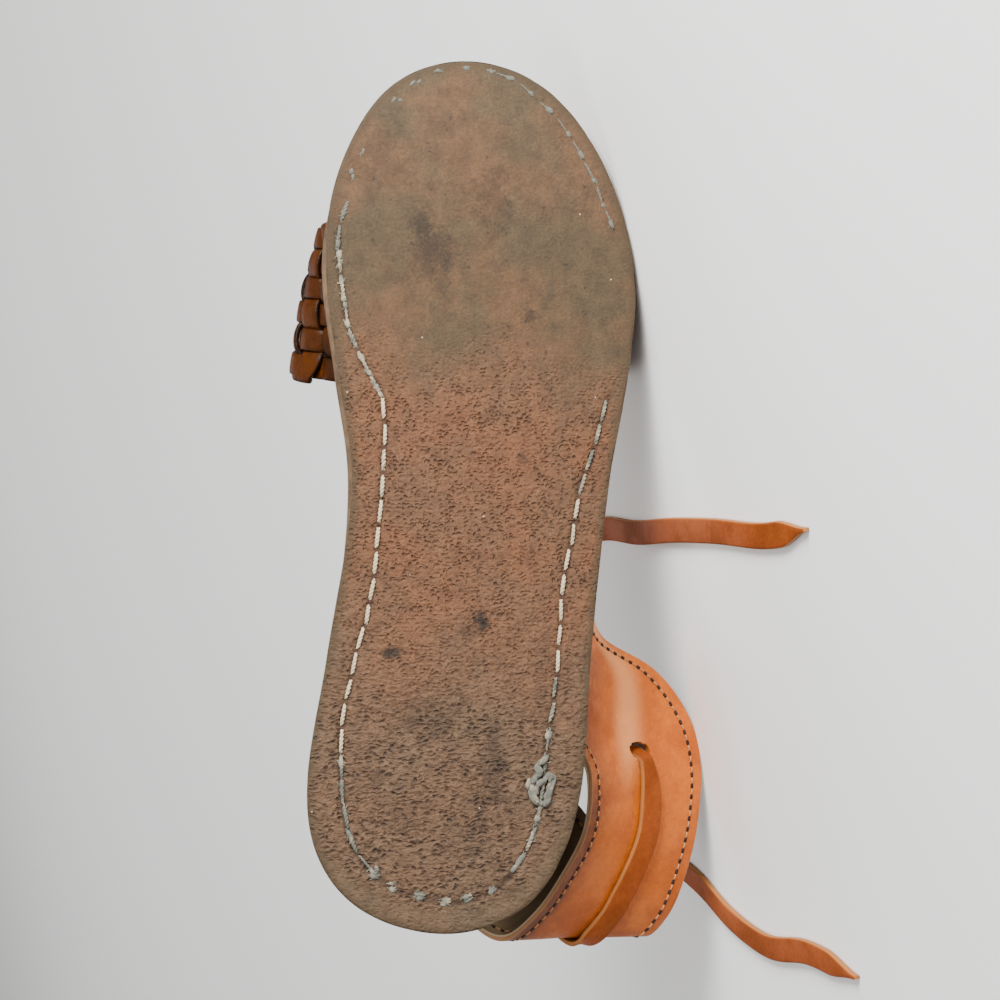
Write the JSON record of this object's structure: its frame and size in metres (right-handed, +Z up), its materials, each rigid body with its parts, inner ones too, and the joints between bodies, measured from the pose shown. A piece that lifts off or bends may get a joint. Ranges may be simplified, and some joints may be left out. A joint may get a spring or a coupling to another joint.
{
  "type": "ankle strap sandal",
  "caption": "Flat leather ankle-tie sandal for the left foot with a woven open-toed vamp and a slack heel counter, lying on its outer side.",
  "frame": {"origin": "bottom centre of the sandal's box on the floor, its free tie ends left out", "axes": "+X towards the toe, +Y from the tread side towards the upper, +Z up from the floor that the outer side lies on"},
  "size_m": [0.2776, 0.1925, 0.124],
  "materials": {
    "sole_leather": "grained and worn",
    "midsole_leather": "raw edge",
    "insole_leather": "smooth",
    "woven_leather": "satin",
    "counter_leather": "satin",
    "lace_leather": "satin"
  },
  "bodies": {
    "root": {"outsole": "sole_leather", "midsole": "midsole_leather", "insole": "insole_leather", "vamp": "woven_leather", "heel_counter": "counter_leather", "tie_bar": "lace_leather", "tie_end_outer": "lace_leather", "tie_end_inner": "lace_leather"}
  },
  "joints": []
}
